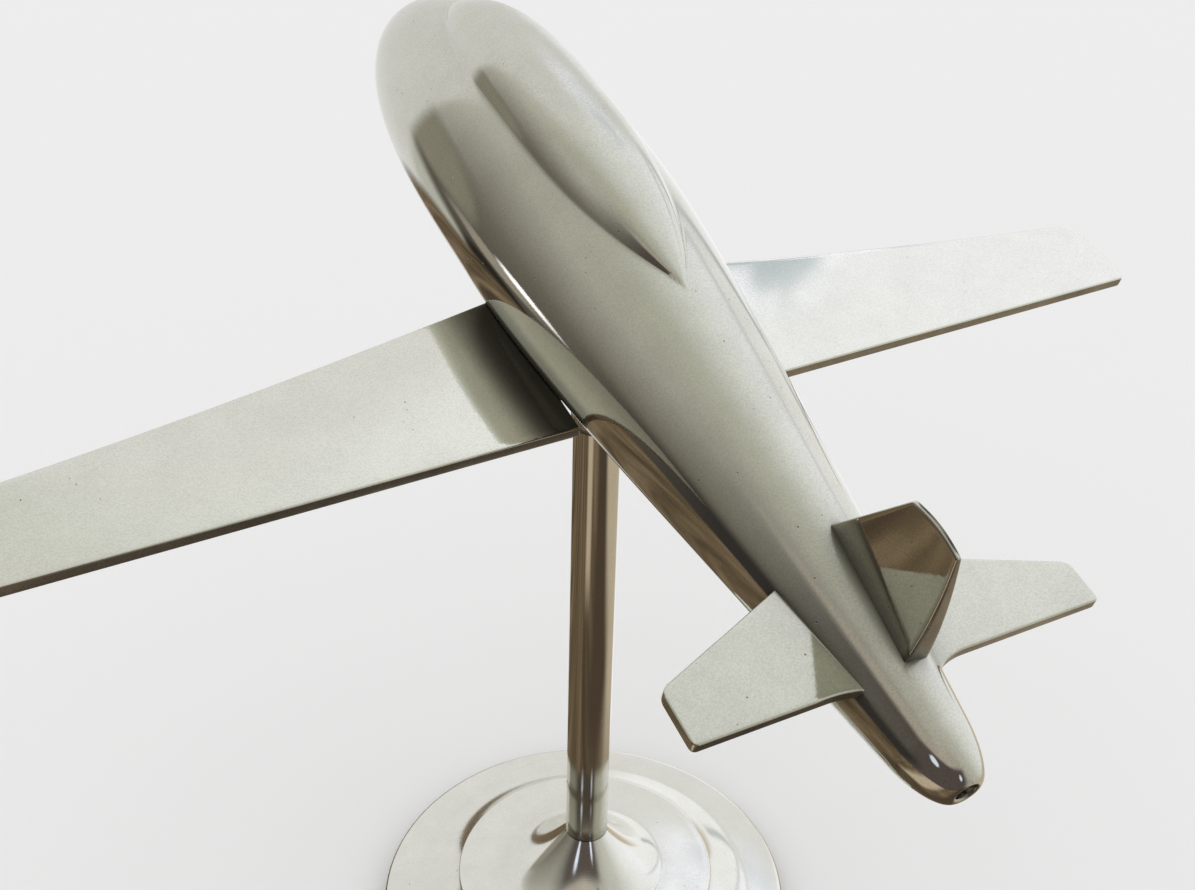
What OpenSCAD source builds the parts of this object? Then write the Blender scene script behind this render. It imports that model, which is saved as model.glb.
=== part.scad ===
// Polished cast-aluminium jet plane on a turned pole stand. Millimetres.
// Origin: centre of the base's underside. +Z up along the pole, nose towards +Y, wings along X.

/* [Stand] */
// Outer diameter of the base
base_d = 125.2; // [110:0.2:150]
// Height of the base's outer rim
rim_h = 6; // [4.5:0.5:8]
// Diameter of the raised disc on the base
disc_d = 78.8; // [66:0.2:84]
// Height of the raised disc's edge over the table
disc_h = 14.8; // [14:0.1:20]
// Height of the joint between the base's neck and the pole
neck_h = 30.6; // [28:0.1:42]
// Diameter of the pole
pole_d = 12.7; // [12:0.1:16]
// Length of the pole between the neck and the swivel
pole_len = 144.1; // [120:0.1:190]

/* [Attitude] */
// Height of the fuselage's axis over the pole's top
axis_over_pole = 42.2; // [40:0.1:48]
// Nose-up angle of the plane on its pole
climb = 17.4; // [0:0.1:25]

/* [Fuselage] */
// Largest radius of the fuselage
body_r = 28; // [26:0.1:30]
// Place of the largest section, ahead of the pole
body_mid = 21; // [15:1:30]
// Length over which the straight taper to the rear eases in
body_ease = 38; // [20:1:60]
// Distance from the pole to the tip of the nose
nose_y = 120.5; // [105:0.5:140]
// How far the nose drops below the axis
nose_drop = 6.5; // [0:0.1:9]
// Distance from the pole to the end of the tail pipe
tail_y = 154.8; // [150:0.2:175]
// Radius of the tail pipe
tail_r = 7.2; // [6.5:0.1:9]
// Length over which the tail pipe's end is rounded
tail_round = 13; // [6:0.5:16]
// How far that rounding is drawn in at the end
tail_in = 4.3; // [2:0.1:4.6]
// Depth of the hole in the tail pipe
jet_depth = 16; // [6:1:17]
// Diameter of the hole in the tail pipe
jet_d = 4.8; // [3:0.1:7]

/* [Canopy] */
// Half width of the canopy
canopy_w = 13.6; // [11:0.1:16]
// Height of the canopy over the fuselage
canopy_h = 5.2; // [2:0.1:6]
// Front end of the canopy, ahead of the pole
canopy_front = 93; // [80:1:98]
// Rear point of the canopy, behind the pole
canopy_rear = 33; // [20:1:45]

/* [Wings] */
// Reach of each wing from the middle of the fuselage
wing_reach = 163.4; // [140:0.2:200]
// Thickness of the wing plates
wing_t = 3.3; // [2.5:0.1:4]
// Depth of the wings' top face below the fuselage's axis
wing_drop = 17.9; // [16.5:0.1:18.5]
// Trailing edge behind the pole
wing_te = 30.2; // [28:0.1:38]
// Chord at the wings' inner edges
wing_root_chord = 47.3; // [42:0.1:56]
// Chord where the leading edge bends
wing_bend_chord = 35.2; // [28:0.1:40]
// Distance of that bend from the middle
wing_bend_x = 84; // [70:1:120]
// Chord at the tip before its corners are rounded
wing_tip_chord = 25; // [20:0.1:28]
// Turn of the wing set on the fuselage, seen from above
wing_skew = 1.8; // [-3:0.1:3]
// Distance of the wings' inner edges from the middle
wing_root_x = 19.1; // [18.5:0.1:20]

/* [Tail] */
// Reach of the left tailplane from the middle
left_tail_reach = 47; // [40:0.5:65]
// Reach of the right tailplane from the middle
right_tail_reach = 53.2; // [40:0.1:65]
// Thickness of the tailplanes
tail_t = 2.7; // [2:0.1:3.2]
// Height of the tailplanes' top face over the axis
tail_z = 5.7; // [4.5:0.1:6]
// Thickness of the fin where it leaves the body
fin_root_t = 6; // [4:0.1:7]
// Thickness of the fin along its top
fin_top_t = 1.2; // [0.8:0.1:2]
// How far the fin stands to the right of the middle
fin_offset = 1.8; // [-2:0.1:2]

/* [Fits] */
// Radial clearance of the swivel's bore on its screw
swivel_clear = 0.05; // [0.02:0.01:0.09]
// Gap round pieces that are pressed or screwed in
seat_clear = 0.04; // [0.02:0.01:0.1]

/* [Hidden] */
$fn = 96;

alloy = "#c9c8bd";
steel = "#9a9a98";

// Heights on the stand
pole_r = pole_d / 2;
pole_top = neck_h + pole_len;
axis_h = pole_top + axis_over_pole;

// Base casting
base_r = base_d / 2;
disc_r = disc_d / 2;
rim_round = 1.6;
disc_lip = 1.5;
cove_most = 7;
cove_least_rise = 0.9;
cove_rise = min(cove_most, disc_h - rim_h - disc_lip - cove_least_rise);
cove_rim = 4;
cove_out = min(13, base_r - rim_round - disc_r - cove_rim);
disc_dome = 0.6;
disc_round = 0.8;
neck_out = 18;
neck_from = 35;
recess_r = 20;
recess_h = 8.5;

// Stud, nut and washers under the base
stud_r = 3.175;
stud_in_pole = 16;
stud_clear = 0.12;
washer_r = 8;
washer_t = 1.6;
lock_r = 5.4;
lock_t = 1.5;
lock_gap = 0.8;
nut_af = 11.1;
nut_t = 5;
stud_end = recess_h - washer_t - lock_t - nut_t;

// Swivel: thrust washer, boss, spring washer and shoulder screw
thrust_t = 0.6;
swivel_gap = 0.03;
boss_r = 7;
boss_chamfer = 0.6;
boss_z = pole_top + thrust_t + swivel_gap;
boss_len = 27.5;
boss_land = 6;
boss_well_r = 5.2;
shoulder_r = 3;
screw_thread_r = 2.5;
screw_thread_l = 12;
spring_t = 0.9;
spring_sheet = 0.45;
spring_play = 0.01;
spring_inner_gap = 0.2;
spring_outer_gap = 0.4;
thrust_bore_gap = 0.1;
shoulder_l = thrust_t + swivel_gap + boss_land + spring_t + 2 * spring_play;
head_r = 4.6;
head_t = 3.2;
head_slot = 1.2;
grub_r = 1.5;
grub_len = 6.4;
grub_bite = 0.9;
grub_from_top = 6.9;
grub_z = boss_z + boss_len - grub_from_top;
way_out = 30;

// Wing tongues and their set screws
tongue_in = 10.6;
tongue_front = 8;
tongue_rear = -20.4;
tip_front_r = 4.2;
tip_rear_r = 2.6;
set_r = 1.5;
set_x = 13.4;
set_y = [4, -14.5];
set_len = 13;
set_low = 0.5;
set_slot = 0.5;

// Tail surfaces, right-hand side from above
tail_le = -97.4;
tail_sweep = 0.387;
tail_te = -128.9;
tail_root_x = 8.4;
tail_tongue_in = 4.2;
tail_tongue = [-103, -122];
tail_flare = [8.5, 4];
tail_tip_r = 2.1;
tail_corner_r = 1.3;
pin_r = 1.2;
tail_pin_x = 6.2;
tail_pin_y = -112;
tail_pin_z = [-9.6, 8];
tail_pin_entry = 8;

// Fin: foot sunk in the body, straight leading and trailing edges, tongue below
fin_foot_z = 8;
fin_foot_y = [-93.1, -129.8];
fin_foot_front_t = 3.6;
fin_foot_rear_t = fin_root_t + 0.5;
fin_top_z = 39;
fin_top_y = [-113, -127.6];
fin_edge = 0.6;
fin_tongue_y = [-100, -121];
fin_tongue_t = 3;
fin_tongue_end = 2.5;
fin_pin_y = -108;
fin_pin_wall = 0.8;
fin_pin_z = tail_z - tail_t - pin_r - fin_pin_wall;
fin_pin_len = 12;
fin_tongue_z = fin_pin_z - fin_tongue_end;

// Radius of the fuselage at station y: superellipse nose, straight tail taper that eases in
function eased(d) = sqrt(d * d + body_ease * body_ease) - body_ease;
function nose_r(y) = body_r * sqrt(max(0, 1 - pow((y - body_mid) / (nose_y - body_mid), 3)));
function taper_r(y) = body_r - (body_r - tail_r) * eased(body_mid - y) / eased(body_mid + tail_y);
function end_loss(d) = d <= 0 ? 0 : tail_in * (1 - sqrt(max(0, 1 - pow(d / tail_round, 2))));
function radius_at(y) = y > body_mid ? nose_r(y) : taper_r(y) - end_loss(tail_round - tail_y - y);
function drop_at(y) = y < body_mid ? 0 : nose_drop * pow((y - body_mid) / (nose_y - body_mid), 1.5);

// Canopy: sides nearly parallel, front rounded, rear drawn to a point, crown full and its sides steep
canopy_wide = [4, 40];
function canopy_rear_t(y) = max(0, (canopy_wide[0] - y) / (canopy_wide[0] + canopy_rear));
function canopy_front_t(y) = max(0, (y - canopy_wide[1]) / (canopy_front - canopy_wide[1]));
function canopy_half(y) = y < canopy_wide[0] ? canopy_w * pow(max(0, 1 - pow(canopy_rear_t(y), 1.8)), 1.4)
  : canopy_w * pow(max(0, 1 - pow(canopy_front_t(y), 2.4)), 0.6);
function canopy_crown(y) = canopy_h
  * max(0, 1 - max(pow(canopy_rear_t(y), 2.4), pow(canopy_front_t(y), 3.2)));
function canopy_rise(y, x) = let (half = canopy_half(y))
  abs(x) >= half ? 0 : canopy_crown(y) * (1 - pow(abs(x) / half, 3));

// Skin: rings of points, with the canopy's edge always on the same two rows of points
rings = 46;
sides = 56;
canopy_share = 0.25;
cap_share = 0.13;
body_start = tail_round - tail_y;
function station(t) = t < cap_share ? body_start - tail_round * cos(90 * t / cap_share)
  : body_start + (nose_y - body_start) * sin(90 * (t - cap_share) / (1 - cap_share));
function edge_angle(y) = max(5, asin(min(0.9, canopy_half(y) / max(1, radius_at(y)))));
function row_angle(y, v) = abs(v) < canopy_share ? edge_angle(y) * v / canopy_share
  : sign(v) * (edge_angle(y) + (180 - edge_angle(y)) * (abs(v) - canopy_share) / (1 - canopy_share));
function skin_point(y, a) = let (r = radius_at(y) + (cos(a) > 0 ? canopy_rise(y, radius_at(y) * sin(a)) : 0))
  [r * sin(a), y, r * cos(a) - drop_at(y)];
skin = [for (i = [0 : rings - 1]) for (j = [0 : sides - 1])
  let (y = station(i / rings)) skin_point(y, row_angle(y, 2 * j / sides - 1))];
nose_index = rings * sides;
skin_sides = [for (i = [0 : rings - 2]) for (j = [0 : sides - 1])
  let (k = (j + 1) % sides, a = i * sides) [a + j, a + k, a + sides + k, a + sides + j]];
skin_nose = [for (j = [0 : sides - 1])
  let (a = (rings - 1) * sides) [a + j, a + (j + 1) % sides, nose_index]];
skin_tail = [[for (j = [sides - 1 : -1 : 0]) j]];

module in_flight() {
  translate([0, 0, axis_h]) rotate([climb, 0, 0]) children();
}

module mirrored(side) {
  mirror([side < 0 ? 1 : 0, 0, 0]) children();
}

module body_skin() {
  polyhedron(points = concat(skin, [[0, nose_y, -drop_at(nose_y)]]),
    faces = concat(skin_tail, skin_sides, skin_nose), convexity = 6);
}

// Points of an arc of radius r about p, from angle a to angle b
function corner(p, r, a, b) = [for (k = [0 : 8]) let (t = a + (b - a) * k / 8) p + r * [cos(t), sin(t)]];
// Height of a corner's centre, for a corner of radius r inside an edge that slopes down to tip_y
function corner_y(tip_y, slope, r) = tip_y + r * (slope - sqrt(1 + slope * slope));

// Right-hand wing from above: plate with rounded tip, and the tongue that enters the body
module wing_outline(gap) {
  tip_y = wing_tip_chord - wing_te;
  slope = (wing_bend_chord - wing_tip_chord) / (wing_reach - wing_bend_x);
  polygon(concat(
    [[wing_root_x - gap, -wing_te - gap]],
    corner([wing_reach - tip_rear_r, tip_rear_r - wing_te], tip_rear_r, -90, 0),
    corner([wing_reach - tip_front_r, corner_y(tip_y, slope, tip_front_r)], tip_front_r, 0, 90 - atan(slope)),
    [[wing_bend_x, wing_bend_chord - wing_te + gap],
     [wing_root_x - gap, wing_root_chord - wing_te + gap],
     [wing_root_x - gap, tongue_front + gap], [tongue_in - gap, tongue_front + gap],
     [tongue_in - gap, tongue_rear - gap], [wing_root_x - gap, tongue_rear - gap]]));
}

module wing_plate(side, gap) {
  rotate([0, 0, wing_skew]) mirrored(side) translate([0, 0, -wing_drop - wing_t - gap])
    linear_extrude(wing_t + 2 * gap) wing_outline(gap);
}

module at_set_screws(side) {
  for (y = set_y) rotate([0, 0, wing_skew]) translate([side * set_x, y, -wing_drop - wing_t - set_low])
    children();
}

module wing(side) {
  color(alloy) in_flight() difference() {
    wing_plate(side, 0);
    at_set_screws(side) cylinder(r = set_r + seat_clear, h = wing_t + 2 * set_low);
  }
}

module left_wing() { wing(-1); }
module right_wing() { wing(1); }

module set_screw() {
  difference() {
    cylinder(r = set_r, h = set_len);
    translate([-set_r - 1, -set_slot / 2, -1]) cube([2 * set_r + 2, set_slot, 1 + set_slot]);
  }
}

module wing_screws() {
  color(steel) in_flight() for (side = [-1, 1]) at_set_screws(side) set_screw();
}

// Right-hand half tailplane from above: swept leading edge, flared trailing root and tongue
module tail_outline(reach, gap) {
  tip_le = tail_le - tail_sweep * reach;
  root = tail_root_x - gap;
  polygon(concat(
    [for (k = [0 : 8]) let (a = 90 * k / 8)
      [root + tail_flare[0] * (1 - cos(a)), tail_te - gap - tail_flare[1] * (1 - sin(a))]],
    corner([reach - tail_corner_r, tail_te + tail_corner_r], tail_corner_r, -90, 0),
    corner([reach - tail_tip_r, corner_y(tip_le, tail_sweep, tail_tip_r)], tail_tip_r,
      0, 90 - atan(tail_sweep)),
    [[root, tail_le - tail_sweep * root + gap],
     [root, tail_tongue[0] + gap], [tail_tongue_in - gap, tail_tongue[0] + gap],
     [tail_tongue_in - gap, tail_tongue[1] - gap], [root, tail_tongue[1] - gap]]));
}

module tail_plate(side, gap) {
  mirrored(side) translate([0, 0, tail_z - tail_t - gap]) linear_extrude(tail_t + 2 * gap)
    tail_outline(side < 0 ? left_tail_reach : right_tail_reach, gap);
}

module tail_pin(side, gap, below) {
  translate([side * tail_pin_x, tail_pin_y, tail_pin_z[0] - below])
    cylinder(r = pin_r + gap, h = tail_pin_z[1] - tail_pin_z[0] + below + gap);
}

module tailplane(side) {
  color(alloy) in_flight() difference() {
    tail_plate(side, 0);
    tail_pin(side, seat_clear, 0);
  }
}

module left_tailplane() { tailplane(-1); }
module right_tailplane() { tailplane(1); }

module tail_pins() {
  color(steel) in_flight() for (side = [-1, 1]) tail_pin(side, 0, 0);
}

// Thin upright block of the fin's hull: y runs to the rear from y
module fin_edge_block(y, z, t) {
  translate([fin_offset - t / 2, y, z]) cube([t, fin_edge, fin_edge]);
}

module fin_blade() {
  hull() {
    fin_edge_block(fin_foot_y[0] - fin_edge, fin_foot_z, fin_foot_front_t);
    fin_edge_block(fin_foot_y[1], fin_foot_z, fin_foot_rear_t);
    fin_edge_block(fin_top_y[0] - fin_edge, fin_top_z - fin_edge, fin_top_t);
    fin_edge_block(fin_top_y[1], fin_top_z - fin_edge, fin_top_t);
  }
}

module fin_tongue(gap) {
  translate([fin_offset - fin_tongue_t / 2 - gap, fin_tongue_y[1] - gap, fin_tongue_z - gap])
    cube([fin_tongue_t + 2 * gap, fin_tongue_y[0] - fin_tongue_y[1] + 2 * gap,
      fin_foot_z - fin_tongue_z + 1]);
}

module fin_cross_pin(gap, beyond) {
  translate([fin_offset - fin_pin_len / 2, fin_pin_y, fin_pin_z]) rotate([0, 90, 0])
    cylinder(r = pin_r + gap, h = fin_pin_len + beyond);
}

module fin() {
  color(alloy) in_flight() difference() {
    union() {
      fin_blade();
      fin_tongue(0);
    }
    fin_cross_pin(seat_clear, 0);
  }
}

module fin_pin() {
  color(steel) in_flight() fin_cross_pin(0, 0);
}

// Fuselage casting with its slots, pin holes, tail-pipe hole and the socket for the swivel
module fuselage() {
  color(alloy) difference() {
    in_flight() difference() {
      body_skin();
      for (side = [-1, 1]) {
        wing_plate(side, seat_clear);
        at_set_screws(side) translate([0, 0, -way_out]) cylinder(r = set_r + seat_clear,
          h = way_out + set_len + seat_clear);
        tail_plate(side, seat_clear);
        tail_pin(side, seat_clear, tail_pin_entry);
      }
      fin_blade();
      fin_tongue(seat_clear);
      fin_cross_pin(seat_clear, way_out);
      translate([0, -tail_y - 1, 0]) rotate([-90, 0, 0]) cylinder(r = jet_d / 2, h = jet_depth + 1);
    }
    translate([0, 0, pole_top])
      cylinder(r = boss_r + seat_clear, h = boss_len + boss_z - pole_top + seat_clear);
    translate([0, boss_r - grub_bite, grub_z]) rotate([-90, 0, 0])
      cylinder(r = grub_r + seat_clear, h = way_out);
  }
}

// Swivel boss: turns on the shoulder screw, its upper half sits in the fuselage
module swivel_boss() {
  color(alloy) difference() {
    translate([0, 0, boss_z]) rotate_extrude() polygon([
      [shoulder_r + swivel_clear, 0], [boss_r - boss_chamfer, 0], [boss_r, boss_chamfer],
      [boss_r, boss_len], [boss_well_r, boss_len], [boss_well_r, boss_land],
      [shoulder_r + swivel_clear, boss_land]]);
    translate([0, boss_r - grub_bite, grub_z]) rotate([-90, 0, 0])
      cylinder(r = grub_r + seat_clear, h = 2 * grub_bite);
  }
}

module boss_grub_screw() {
  color(steel) translate([0, boss_r - grub_bite, grub_z]) rotate([-90, 0, 0]) difference() {
    cylinder(r = grub_r, h = grub_len);
    translate([-grub_r - 1, -set_slot / 2, grub_len - 2 * set_slot])
      cube([2 * grub_r + 2, set_slot, 2 * set_slot + 1]);
  }
}

// Shoulder screw: seats on the pole's top and holds the boss down through the spring washer
module swivel_screw() {
  color(steel) translate([0, 0, pole_top]) difference() {
    union() {
      translate([0, 0, -screw_thread_l]) cylinder(r = screw_thread_r, h = screw_thread_l);
      cylinder(r = shoulder_r, h = shoulder_l);
      translate([0, 0, shoulder_l]) cylinder(r = head_r, h = head_t);
    }
    translate([-head_r - 1, -head_slot / 2, shoulder_l + head_t - head_slot])
      cube([2 * head_r + 2, head_slot, head_slot + 1]);
  }
}

// Dished spring washer between the boss's land and the screw's head
module spring_washer() {
  inner = shoulder_r + spring_inner_gap;
  outer = boss_well_r - spring_outer_gap;
  color(steel) translate([0, 0, boss_z + boss_land + spring_play]) rotate_extrude() polygon([
    [inner, spring_t - spring_sheet], [outer, 0], [outer, spring_sheet], [inner, spring_t]]);
}

module thrust_washer() {
  color(steel) translate([0, 0, pole_top]) difference() {
    cylinder(r = pole_r, h = thrust_t);
    translate([0, 0, -1]) cylinder(r = shoulder_r + thrust_bore_gap, h = thrust_t + 2);
  }
}

module pole() {
  chamfer = 0.35;
  color(alloy) difference() {
    translate([0, 0, neck_h]) rotate_extrude() polygon([
      [0, 0], [pole_r - chamfer, 0], [pole_r, chamfer], [pole_r, pole_len - chamfer],
      [pole_r - chamfer, pole_len], [0, pole_len]]);
    translate([0, 0, neck_h - 1]) cylinder(r = stud_r + seat_clear, h = stud_in_pole + 2);
    translate([0, 0, pole_top - screw_thread_l - 1])
      cylinder(r = screw_thread_r + seat_clear, h = screw_thread_l + 2);
  }
}

// Base casting: rim, coved ring, raised disc and trumpet neck, hollowed under the middle
module base() {
  cove = [for (k = [0 : 10]) let (a = 270 - 90 * k / 10)
    [disc_r + cove_out * (1 + cos(a)), disc_h - disc_lip + cove_rise * sin(a)]];
  neck_foot = disc_h + disc_dome;
  neck_down = (neck_h - neck_foot) / (1 - sin(neck_from));
  neck = [for (k = [0 : 14]) let (a = 270 - (90 - neck_from) * k / 14)
    [pole_r + neck_out * (1 + cos(a) / cos(neck_from)), neck_foot + neck_down * (1 + sin(a))]];
  color(alloy) rotate_extrude() polygon(concat(
    [[stud_r + stud_clear, recess_h], [recess_r, recess_h], [recess_r, 0], [base_r - rim_round, 0]],
    corner([base_r - rim_round, rim_round], rim_round, -90, 0),
    corner([base_r - rim_round, rim_h - rim_round], rim_round, 0, 86),
    cove,
    corner([disc_r - disc_round, disc_h - disc_round], disc_round, 0, 88),
    neck,
    [[stud_r + stud_clear, neck_h]]));
}

module base_stud() {
  color(steel) translate([0, 0, stud_end]) cylinder(r = stud_r, h = neck_h + stud_in_pole - stud_end);
}

module base_washer() {
  color(steel) translate([0, 0, recess_h - washer_t]) difference() {
    cylinder(r = washer_r, h = washer_t);
    translate([0, 0, -1]) cylinder(r = stud_r + stud_clear, h = washer_t + 2);
  }
}

// Split spring washer
module lock_washer() {
  color(steel) translate([0, 0, recess_h - washer_t - lock_t]) difference() {
    cylinder(r = lock_r, h = lock_t);
    translate([0, 0, -1]) cylinder(r = stud_r + stud_clear, h = lock_t + 2);
    translate([0, -lock_gap / 2, -1]) cube([lock_r + 1, lock_gap, lock_t + 2]);
  }
}

module base_nut() {
  color(steel) translate([0, 0, stud_end]) difference() {
    cylinder(r = nut_af / 2 / cos(30), h = nut_t, $fn = 6);
    translate([0, 0, -1]) cylinder(r = stud_r + seat_clear, h = nut_t + 2);
  }
}

fuselage();
left_wing();
right_wing();
wing_screws();
fin();
fin_pin();
left_tailplane();
right_tailplane();
tail_pins();
swivel_boss();
boss_grub_screw();
swivel_screw();
spring_washer();
thrust_washer();
pole();
base();
base_stud();
base_washer();
lock_washer();
base_nut();
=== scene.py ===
"""A desk model of a straight-winged jet plane in polished cast aluminium, on a thin pole and a turned base.

Metres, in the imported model's frame: origin under the base, +Z up the pole, nose towards +Y. Sizes are
written in millimetres and scaled once, where a grid becomes a mesh.
"""
import math

import bpy
import numpy as np
from mathutils import Matrix, Vector


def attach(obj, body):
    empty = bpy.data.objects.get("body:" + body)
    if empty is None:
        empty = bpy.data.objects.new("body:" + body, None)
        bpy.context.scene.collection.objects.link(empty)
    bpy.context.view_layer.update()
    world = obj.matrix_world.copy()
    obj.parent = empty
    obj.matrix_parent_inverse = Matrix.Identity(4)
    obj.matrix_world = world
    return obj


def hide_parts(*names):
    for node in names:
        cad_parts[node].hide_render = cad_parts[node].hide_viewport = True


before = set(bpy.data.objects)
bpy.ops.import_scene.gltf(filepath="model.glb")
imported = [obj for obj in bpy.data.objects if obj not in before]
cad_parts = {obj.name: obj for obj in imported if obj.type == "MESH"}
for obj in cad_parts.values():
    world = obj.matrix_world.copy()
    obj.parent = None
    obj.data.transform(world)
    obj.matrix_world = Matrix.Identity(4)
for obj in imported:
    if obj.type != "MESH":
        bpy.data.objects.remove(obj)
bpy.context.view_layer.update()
MM = 0.001

# Attitude of the plane on its pole
POLE_TOP = 174.7
AXIS_H = 216.9
CLIMB = math.radians(17.4)
WING_SKEW = math.radians(1.8)


# Grids to meshes

REAR_FACING = 0.9       # cosine to the plane's rear, past which a face counts as a filed rear edge


def in_flight(grid):
    """Plane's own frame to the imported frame: turned nose-up about X by the climb, then lifted to the
    axis' height."""
    x, y, z = grid[..., 0], grid[..., 1], grid[..., 2]
    c, s = math.cos(CLIMB), math.sin(CLIMB)
    return np.stack([x, y * c - z * s, y * s + z * c + AXIS_H], axis=-1)


def closed_skin(name, grid, material, sharp, rear_face=None):
    """Mesh of a grid (rows, columns, 3) in millimetres: each row is a closed loop, the first and the last
    row are closed with a fan to their mean point. Faces are turned outwards by the sign of the enclosed
    volume, the sum of a . (b x c) / 6 over its triangles. Edges are sharp past an angle in degrees. Faces
    that look to the plane's rear can have a finish of their own."""
    rows, cols, _ = grid.shape
    points = np.vstack([grid.reshape(-1, 3), grid[0].mean(axis=0)[None], grid[-1].mean(axis=0)[None]]) * MM
    first, last = rows * cols, rows * cols + 1
    i, j = np.meshgrid(np.arange(rows - 1), np.arange(cols), indexing="ij")
    k = (j + 1) % cols
    quads = np.stack([i * cols + j, i * cols + k, (i + 1) * cols + k, (i + 1) * cols + j], axis=-1)
    quads = quads.reshape(-1, 4)
    j = np.arange(cols)
    k = (j + 1) % cols
    end = (rows - 1) * cols
    fans = np.vstack([np.stack([k, j, np.full(cols, first)], axis=-1),
                      np.stack([end + j, end + k, np.full(cols, last)], axis=-1)])
    a, b, c, d = (points[quads[:, n]] for n in range(4))
    e, f, g = (points[fans[:, n]] for n in range(3))
    volume = sum(np.einsum("ij,ij->", p, np.cross(q, r)) for p, q, r in ((a, b, c), (a, c, d), (e, f, g))) / 6
    if volume < 0:
        quads, fans = quads[:, ::-1], fans[:, ::-1]
    mesh = bpy.data.meshes.new(name)
    corners = np.concatenate([quads.ravel(), fans.ravel()]).astype(np.int32)
    starts = np.concatenate([np.arange(len(quads)) * 4, len(quads) * 4 + np.arange(len(fans)) * 3])
    mesh.vertices.add(len(points))
    mesh.vertices.foreach_set("co", points.astype(np.float32).ravel())
    mesh.loops.add(len(corners))
    mesh.loops.foreach_set("vertex_index", corners)
    mesh.polygons.add(len(starts))
    mesh.polygons.foreach_set("loop_start", starts.astype(np.int32))
    mesh.update(calc_edges=True)
    mesh.validate()
    mesh.shade_smooth()
    mesh.set_sharp_from_angle(angle=math.radians(sharp))
    mesh.materials.append(material)
    if rear_face:
        mesh.materials.append(rear_face)
        for face in mesh.polygons:
            if face.normal.y * math.cos(CLIMB) + face.normal.z * math.sin(CLIMB) < -REAR_FACING:
                face.material_index = 1
    piece = bpy.data.objects.new(name, mesh)
    bpy.context.scene.collection.objects.link(piece)
    return piece


def lathe(profile, turns):
    """Grid of a profile [(radius, height), ...] carried round the Z axis: (r cos a, r sin a, z)."""
    profile = np.asarray(profile, float)
    a = np.linspace(0, 2 * np.pi, turns, endpoint=False)
    r, z = profile[:, :1], profile[:, 1:]
    return np.stack([r * np.cos(a), r * np.sin(a), np.broadcast_to(z, (len(profile), turns))], axis=-1)


def arc(centre, radius, start, end, steps):
    """Points of an arc, centre + radius * (cos, sin), with angles in degrees."""
    t = np.radians(np.linspace(start, end, steps))
    return np.stack([centre[0] + radius * np.cos(t), centre[1] + radius * np.sin(t)], axis=-1)


def section(front, rear, low, high, edge, steps=6, runs=24):
    """Closed loops of rounded rectangles, one a row: front and rear are the ends of the chord, low and
    high the faces, edge the corner radius. Each corner is a quarter circle of some steps and each face a
    straight run. Returns chordwise and upward coordinates, (rows, loop points) each."""
    front, rear, low, high, edge = (np.asarray(v, float)[:, None] for v in (front, rear, low, high, edge))
    t = np.radians(np.linspace(0, 90, steps))[None]
    run = np.linspace(0, 1, runs)[None, 1:-1]
    s, c = np.sin(t), np.cos(t)
    straight = (front - rear - 2 * edge) * run
    along = [front - edge + edge * c, front - edge - straight, rear + edge - edge * s,
             rear + edge - edge * c, rear + edge + straight, front - edge + edge * s]
    up = [high - edge + edge * s, high + 0 * run, high - edge + edge * c,
          low + edge - edge * s, low + 0 * run, low + edge - edge * c]
    return np.concatenate(along, axis=1), np.concatenate(up, axis=1)


def end_loss(distance, radius):
    """How far a rounded corner of a radius pulls an outline in, at a distance from the end that it turns
    into: radius * (1 - sqrt(1 - d * d)), with d going from 0 where the corner starts to 1 at the end."""
    d = np.clip(1 - distance / radius, 0, 1)
    return radius * (1 - np.sqrt(1 - d * d))


# Fuselage

BODY_R, BODY_MID, BODY_EASE = 28.0, 21.0, 38.0
NOSE_Y, NOSE_DROP = 120.5, 6.5
TAIL_Y, TAIL_R, TAIL_ROUND, TAIL_IN, TAIL_RINGS = 154.8, 7.2, 13.0, 4.3, 26
# Drilled hole in the tail pipe, as (depth, radius), and how far it lies off the axis, sideways and up
JET_HOLE = np.array([(16.0, 0.4), (16.0, 2.4), (4.0, 2.4), (0.35, 2.4), (0.1, 2.5), (0.0, 2.75)])
JET_AT, JET_EASE = (-0.3, 1.6), 0.8
CANOPY_W, CANOPY_H, CANOPY_BULGE = 14.4, 5.6, 3.2
CANOPY_FRONT, CANOPY_REAR, CANOPY_WIDE = 93.0, 33.0, (34.0, 40.0)
# Least angle from the crown to the canopy's edge, and the sine of the most
CANOPY_LEAST, CANOPY_MOST = math.radians(5), 0.9
# Least half width that the bulge is measured against
CANOPY_THIN = 0.4
# Cosine from the crown at which the canopy is gone, and how much more brings it to full height
CANOPY_FADE = (0.05, 0.35)
VALLEY = 0.1


def body_radius(y):
    """R * sqrt(1 - s ** 3) towards the nose; to the rear a straight taper that eases in: the loss grows
    with sqrt(d * d + ease * ease) - ease, d being the distance behind the largest section."""
    s = np.clip((y - BODY_MID) / (NOSE_Y - BODY_MID), 0, 1)
    nose = BODY_R * np.sqrt(1 - s ** 3)
    eased = lambda d: np.sqrt(d * d + BODY_EASE ** 2) - BODY_EASE
    tail = BODY_R - (BODY_R - TAIL_R) * eased(BODY_MID - y) / eased(BODY_MID + TAIL_Y)
    return np.where(y > BODY_MID, nose, tail)


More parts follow.
